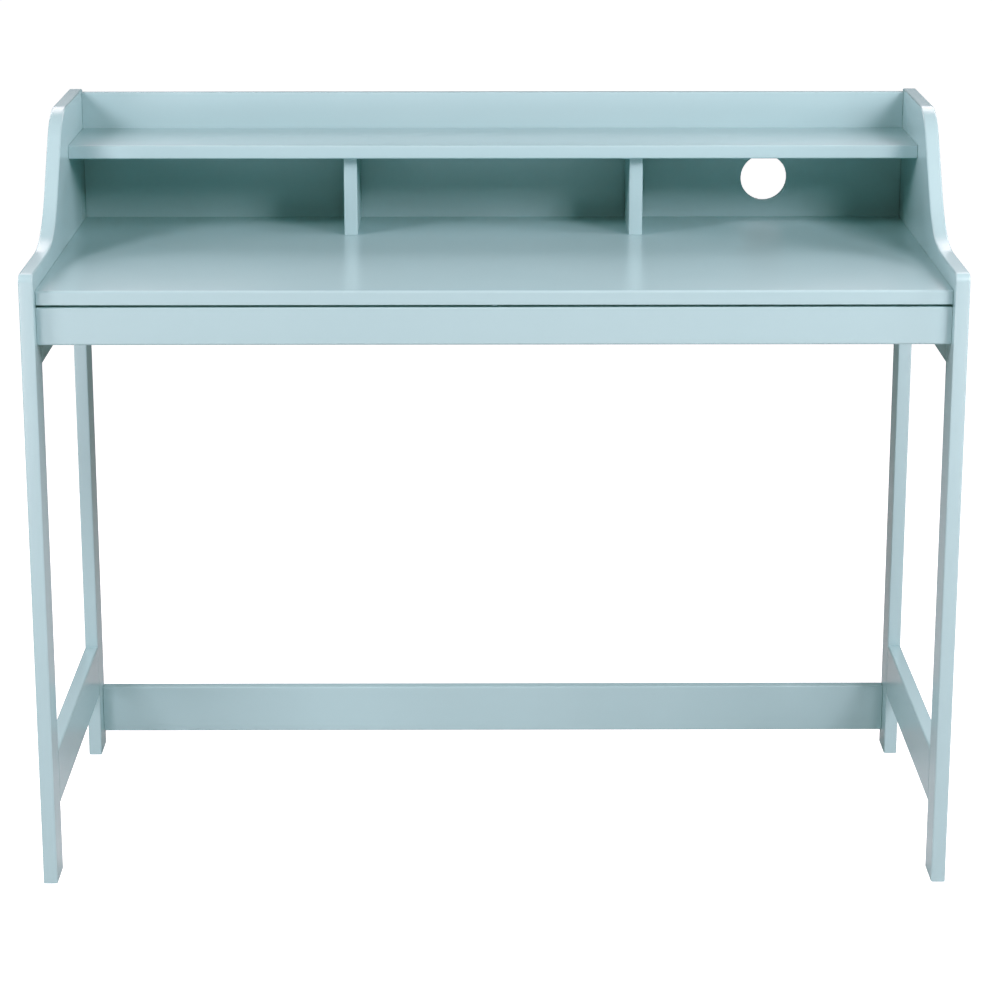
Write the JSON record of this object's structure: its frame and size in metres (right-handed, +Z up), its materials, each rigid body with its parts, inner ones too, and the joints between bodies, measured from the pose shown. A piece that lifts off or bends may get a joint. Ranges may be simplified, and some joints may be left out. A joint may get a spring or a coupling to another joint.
{
  "type": "secretary desk",
  "caption": "Slim writing desk: open side frames with S-curved panels, a desktop over a fixed apron, and a low hutch of three cubbies with a cable hole in its back panel.",
  "frame": {"origin": "on the floor, under the middle of the desk's width and depth", "axes": "+X along the width, to the sitter's right; +Y from the sitter towards the back panel; +Z up"},
  "size_m": [1.1, 0.5, 0.9],
  "materials": {
    "satin_teal_paint": "pale blue-grey teal paint, satin, over wood boards",
    "beech_dowel": "bare beech",
    "zinc_steel": "zinc-plated steel",
    "cast_zinc": "bare die-cast zinc alloy"
  },
  "bodies": {
    "root": {"back_panel": "satin_teal_paint", "centre_apron_dowel": "beech_dowel", "desktop": "satin_teal_paint", "desktop_back_screw_1": "zinc_steel", "desktop_back_screw_2": "zinc_steel", "desktop_back_screw_3": "zinc_steel", "front_apron": "satin_teal_paint", "hutch_shelf": "satin_teal_paint", "left_apron_bolt": "zinc_steel", "left_apron_cam": "cast_zinc", "left_apron_dowel": "beech_dowel", "left_desktop_front_bolt": "zinc_steel", "left_desktop_front_cam": "cast_zinc", "left_desktop_rear_bolt": "zinc_steel", "left_desktop_rear_cam": "cast_zinc", "left_divider": "satin_teal_paint", "left_divider_dowel": "beech_dowel", "left_divider_screw": "zinc_steel", "left_front_leg": "satin_teal_paint", "left_panel_front_lower_dowel": "beech_dowel", "left_panel_front_upper_dowel": "beech_dowel", "left_panel_rear_lower_dowel": "beech_dowel", "left_panel_rear_upper_dowel": "beech_dowel", "left_rear_leg": "satin_teal_paint", "left_rear_stretcher_bolt": "zinc_steel", "left_rear_stretcher_cam": "cast_zinc", "left_rear_stretcher_dowel": "beech_dowel", "left_shelf_bolt": "zinc_steel", "left_shelf_cam": "cast_zinc", "left_shelf_dowel": "beech_dowel", "left_side_panel": "satin_teal_paint", "left_side_stretcher": "satin_teal_paint", "rear_stretcher": "satin_teal_paint", "right_apron_bolt": "zinc_steel", "right_apron_cam": "cast_zinc", "right_apron_dowel": "beech_dowel", "right_desktop_front_bolt": "zinc_steel", "right_desktop_front_cam": "cast_zinc", "right_desktop_rear_bolt": "zinc_steel", "right_desktop_rear_cam": "cast_zinc", "right_divider": "satin_teal_paint", "right_divider_dowel": "beech_dowel", "right_divider_screw": "zinc_steel", "right_front_leg": "satin_teal_paint", "right_panel_front_lower_dowel": "beech_dowel", "right_panel_front_upper_dowel": "beech_dowel", "right_panel_rear_lower_dowel": "beech_dowel", "right_panel_rear_upper_dowel": "beech_dowel", "right_rear_leg": "satin_teal_paint", "right_rear_stretcher_bolt": "zinc_steel", "right_rear_stretcher_cam": "cast_zinc", "right_rear_stretcher_dowel": "beech_dowel", "right_shelf_bolt": "zinc_steel", "right_shelf_cam": "cast_zinc", "right_shelf_dowel": "beech_dowel", "right_side_panel": "satin_teal_paint", "right_side_stretcher": "satin_teal_paint", "shelf_back_screw_1": "zinc_steel", "shelf_back_screw_2": "zinc_steel", "shelf_back_screw_3": "zinc_steel"}
  },
  "joints": []
}
